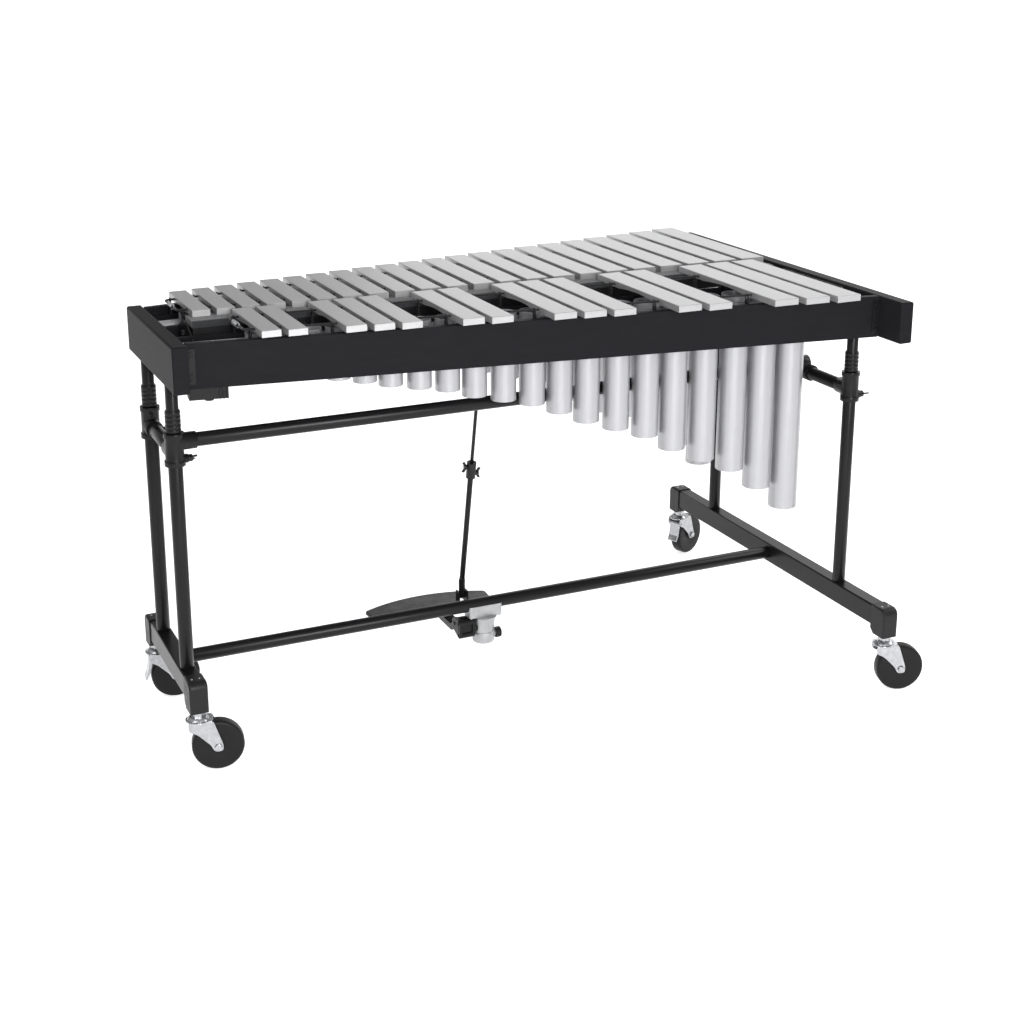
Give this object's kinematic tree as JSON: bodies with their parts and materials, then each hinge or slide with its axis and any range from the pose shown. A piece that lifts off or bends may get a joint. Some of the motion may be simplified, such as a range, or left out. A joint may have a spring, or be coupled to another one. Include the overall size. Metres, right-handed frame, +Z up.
{
  "type": "vibraphone",
  "caption": "Portable vibraphone: silver bars and resonator tubes in a black frame on a height-adjustable rolling stand with a damper pedal",
  "frame": {"origin": "centre of the bounding box's bottom, on the floor", "axes": "+X towards the large (low) end, +Y towards the player, +Z up"},
  "size_m": [1.4178, 0.8758, 0.8034],
  "materials": {
    "black_frame": "satin black enamel",
    "black_wood": "satin black lacquer",
    "black_tube": "gloss black tube",
    "black_anodised": "black anodised channel",
    "bar_silver": "matte silver anodised",
    "tube_silver": "satin drawn tube",
    "bright_steel": "bright plated",
    "cast_silver": "blasted casting",
    "black_plastic": "moulded, fine grain",
    "black_tyre": "smooth solid tyre",
    "black_cord": "braided cord",
    "grey_felt": "pressed felt"
  },
  "bodies": {
    "stand": {"feet": "black_tube", "foot_end_caps": "black_plastic", "leg_tubes": "black_tube", "leg_collars": "black_tube", "side_crossbars": "black_tube", "upper_crossbar": "black_tube", "lower_crossbar": "black_tube", "caster_stems": "bright_steel", "pedal_clamp": "cast_silver", "pedal_bracket": "black_frame"},
    "playing_frame": {"small_end_panel": "black_wood", "large_end_panel": "black_wood", "front_rail": "black_wood", "rear_rail": "black_wood", "natural_rails": "black_wood", "accidental_rails": "black_wood", "rail_brackets": "black_frame", "bracket_screws": "black_frame", "corner_blocks": "black_frame", "natural_bars": "bar_silver", "accidental_bars": "bar_silver", "cord_posts": "black_plastic", "natural_cord": "black_cord", "accidental_cord": "black_cord", "cord_springs": "bright_steel", "natural_resonators": "tube_silver", "accidental_resonators": "tube_silver", "dummy_resonators": "tube_silver", "resonator_stoppers": "tube_silver", "resonator_rails": "tube_silver", "damper_guides": "black_frame", "damper_springs": "bright_steel", "upper_posts": "black_tube", "height_rings": "black_tube"},
    "damper": {"damper_bar": "black_anodised", "damper_felt": "grey_felt"},
    "pedal": {"pedal_plate": "black_frame", "pedal_arm": "black_frame"},
    "rod_hook": {"rod_foot": "black_tube"},
    "lower_rod": {"lower_pull_rod": "black_tube", "rod_clamp": "black_plastic"},
    "upper_rod": {"upper_pull_rod": "black_tube"},
    "rod_screw_upper": {"rod_wing_bolt_upper": "black_plastic"},
    "rod_screw_lower": {"rod_wing_bolt_lower": "black_plastic"},
    "clamp_knob": {"pedal_knob": "black_plastic"},
    "leg_screw_small_front": {"wing_bolt_small_front": "black_plastic"},
    "leg_screw_small_rear": {"wing_bolt_small_rear": "black_plastic"},
    "leg_screw_large_front": {"wing_bolt_large_front": "black_plastic"},
    "leg_screw_large_rear": {"wing_bolt_large_rear": "black_plastic"},
    "fork_small_front": {"caster_fork_small_front": "bright_steel"},
    "wheel_small_front": {"caster_wheel_small_front": "black_tyre"},
    "fork_small_rear": {"caster_fork_small_rear": "bright_steel"},
    "wheel_small_rear": {"caster_wheel_small_rear": "black_tyre"},
    "brake_small_rear": {"brake_lever_small_rear": "bright_steel"},
    "fork_large_front": {"caster_fork_large_front": "bright_steel"},
    "wheel_large_front": {"caster_wheel_large_front": "black_tyre"},
    "fork_large_rear": {"caster_fork_large_rear": "bright_steel"},
    "wheel_large_rear": {"caster_wheel_large_rear": "black_tyre"},
    "brake_large_rear": {"brake_lever_large_rear": "bright_steel"}
  },
  "joints": [
    {"name": "height", "type": "slide", "parent": "stand", "child": "playing_frame", "axis": [0, 0, 1], "range_m": [0, 0.11]},
    {"name": "damper_lift", "type": "slide", "parent": "playing_frame", "child": "damper", "axis": [0, 0, -1], "range_m": [0, 0.01], "stiffness_N_per_m": 1500, "springref_m": -0.03, "deforming": ["damper_springs"]},
    {"name": "pedal_press", "type": "hinge", "parent": "stand", "child": "pedal", "pos_m": [-0.09893, 0.00792, 0.112], "axis": [-1, 0, 0], "range_deg": [0, 6.9]},
    {"name": "hook_pull", "type": "slide", "parent": "stand", "child": "rod_hook", "axis": [0, 0, -1], "range_m": [0, 0.0101]},
    {"name": "lower_rod_lean", "type": "hinge", "parent": "rod_hook", "child": "lower_rod", "pos_m": [-0.06393, 0.08992, 0.163], "axis": [-1, 0, 0], "range_deg": [0, 1.82]},
    {"name": "upper_rod_lean", "type": "hinge", "parent": "damper", "child": "upper_rod", "pos_m": [-0.06393, -0.02608, 0.742], "axis": [-1, 0, 0], "range_deg": [0, 1.82]},
    {"name": "rod_screw_upper_turn", "type": "hinge", "parent": "lower_rod", "child": "rod_screw_upper", "pos_m": [-0.07393, 0.03688, 0.42774], "axis": [-1, 0, 0], "range_deg": [-170, 170]},
    {"name": "rod_screw_lower_turn", "type": "hinge", "parent": "lower_rod", "child": "rod_screw_lower", "pos_m": [-0.05393, 0.04002, 0.41205], "axis": [1, 0, 0], "range_deg": [-170, 170]},
    {"name": "clamp_knob_turn", "type": "hinge", "parent": "stand", "child": "clamp_knob", "pos_m": [-0.03593, -0.00408, 0.082], "axis": [1, 0, 0], "range_deg": [-180, 180]},
    {"name": "leg_screw_small_front_turn", "type": "hinge", "parent": "stand", "child": "leg_screw_small_front", "pos_m": [-0.66193, -0.09508, 0.565], "axis": [1, 0, 0], "range_deg": [-180, 180]},
    {"name": "leg_screw_small_rear_turn", "type": "hinge", "parent": "stand", "child": "leg_screw_small_rear", "pos_m": [-0.66193, 0.08692, 0.565], "axis": [1, 0, 0], "range_deg": [-180, 180]},
    {"name": "leg_screw_large_front_turn", "type": "hinge", "parent": "stand", "child": "leg_screw_large_front", "pos_m": [0.65007, -0.24508, 0.565], "axis": [1, 0, 0], "range_deg": [-180, 180]},
    {"name": "leg_screw_large_rear_turn", "type": "hinge", "parent": "stand", "child": "leg_screw_large_rear", "pos_m": [0.65007, 0.23692, 0.565], "axis": [1, 0, 0], "range_deg": [-180, 180]},
    {"name": "swivel_small_front", "type": "hinge", "parent": "stand", "child": "fork_small_front", "pos_m": [-0.68193, -0.15808, 0.0985], "axis": [0, 0, 1], "continuous": true},
    {"name": "roll_small_front", "type": "hinge", "parent": "fork_small_front", "child": "wheel_small_front", "pos_m": [-0.64965, -0.16494, 0.047], "axis": [0.2079, 0.9781, 0], "continuous": true},
    {"name": "swivel_small_rear", "type": "hinge", "parent": "stand", "child": "fork_small_rear", "pos_m": [-0.68193, 0.15992, 0.0985], "axis": [0, 0, 1], "continuous": true},
    {"name": "roll_small_rear", "type": "hinge", "parent": "fork_small_rear", "child": "wheel_small_rear", "pos_m": [-0.64905, 0.15704, 0.047], "axis": [0.0872, 0.9962, 0], "continuous": true},
    {"name": "brake_small_rear_press", "type": "hinge", "parent": "fork_small_rear", "child": "brake_small_rear", "pos_m": [-0.69388, 0.16096, 0.084], "axis": [-0.0872, -0.9962, 0], "range_deg": [0, 6]},
    {"name": "swivel_large_front", "type": "hinge", "parent": "stand", "child": "fork_large_front", "pos_m": [0.63007, -0.40208, 0.0985], "axis": [0, 0, 1], "continuous": true},
    {"name": "roll_large_front", "type": "hinge", "parent": "fork_large_front", "child": "wheel_large_front", "pos_m": [0.66146, -0.41228, 0.047], "axis": [0.309, 0.9511, 0], "continuous": true},
    {"name": "swivel_large_rear", "type": "hinge", "parent": "stand", "child": "fork_large_rear", "pos_m": [0.63007, 0.39392, 0.0985], "axis": [0, 0, 1], "continuous": true},
    {"name": "roll_large_rear", "type": "hinge", "parent": "fork_large_rear", "child": "wheel_large_rear", "pos_m": [0.65998, 0.40786, 0.047], "axis": [-0.4226, 0.9063, 0], "continuous": true},
    {"name": "brake_large_rear_press", "type": "hinge", "parent": "fork_large_rear", "child": "brake_large_rear", "pos_m": [0.6192, 0.38885, 0.084], "axis": [0.4226, -0.9063, 0], "range_deg": [0, 6]}
  ],
  "couplings": [
    {"joint": "pedal_press", "follows": "damper_lift", "rad_per_m": 11.97},
    {"joint": "hook_pull", "follows": "damper_lift", "ratio": 1},
    {"joint": "lower_rod_lean", "follows": "height", "rad_per_m": 0.2812},
    {"joint": "upper_rod_lean", "follows": "height", "rad_per_m": 0.2812}
  ]
}
